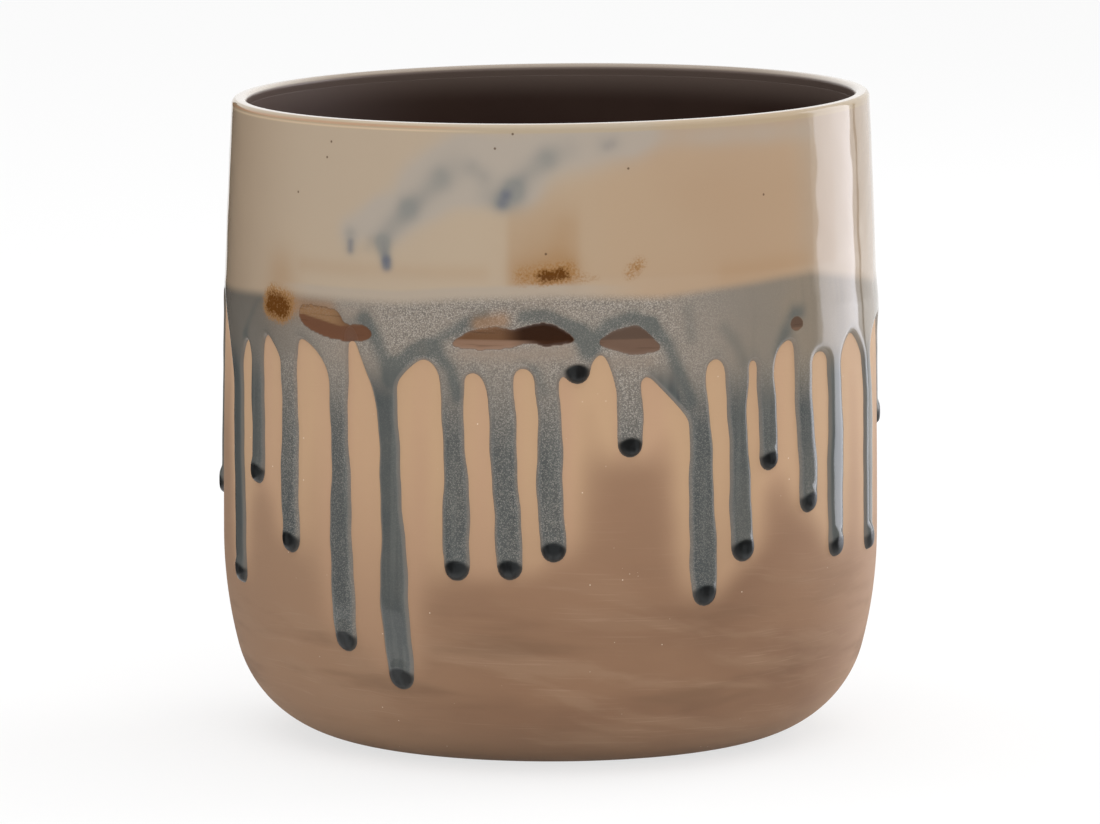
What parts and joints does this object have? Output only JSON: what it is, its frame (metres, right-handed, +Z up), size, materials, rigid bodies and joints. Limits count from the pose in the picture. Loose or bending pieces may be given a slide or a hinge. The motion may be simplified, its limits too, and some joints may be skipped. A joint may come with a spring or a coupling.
{
  "type": "cachepot",
  "caption": "Round stoneware cachepot with soft rounded heel, glazed lip and liner, and a glaze band whose runs end in beads down a bare lower wall.",
  "frame": {"origin": "centre of the foot ring on the resting plane", "axes": "+Z up along the pot's axis, -Y the front face with the pictured runs, +X to the right seen from the front"},
  "size_m": [0.2024, 0.2034, 0.196],
  "materials": {
    "stoneware": "matte fired clay, pale peach near the runs",
    "liner": "satin dark brown",
    "cream_glaze": "gloss, cream to tan with blue-grey clouds",
    "grey_glaze": "gloss, speckled grey",
    "brown_glaze": "high gloss dark brown",
    "run_glaze": "gloss blue-grey, near black in the beads"
  },
  "bodies": {
    "root": {"brown_pool_1": "brown_glaze", "brown_pool_2": "brown_glaze", "brown_pool_3": "brown_glaze", "brown_pool_4": "brown_glaze", "glaze_run_01": "run_glaze", "glaze_run_02": "run_glaze", "glaze_run_03": "run_glaze", "glaze_run_04": "run_glaze", "glaze_run_05": "run_glaze", "glaze_run_06": "run_glaze", "glaze_run_07": "run_glaze", "glaze_run_08": "run_glaze", "glaze_run_09": "run_glaze", "glaze_run_10": "run_glaze", "glaze_run_11": "run_glaze", "glaze_run_12": "run_glaze", "glaze_run_13": "run_glaze", "glaze_run_14": "run_glaze", "glaze_run_15": "run_glaze", "glaze_run_16": "run_glaze", "glaze_run_17": "run_glaze", "glaze_run_18": "run_glaze", "glaze_run_19": "run_glaze", "glaze_run_20": "run_glaze", "glaze_run_21": "run_glaze", "glaze_run_22": "run_glaze", "glaze_run_23": "run_glaze", "glaze_run_24": "run_glaze", "glaze_run_25": "run_glaze", "glaze_run_26": "run_glaze", "glaze_run_27": "run_glaze", "glaze_run_28": "run_glaze", "glaze_run_29": "run_glaze", "glaze_run_30": "run_glaze", "glaze_run_31": "run_glaze", "glaze_run_32": "run_glaze", "glaze_run_33": "run_glaze", "grey_band": "grey_glaze", "liner_glaze": "liner", "stoneware_body": "stoneware", "upper_glaze": "cream_glaze"}
  },
  "joints": []
}
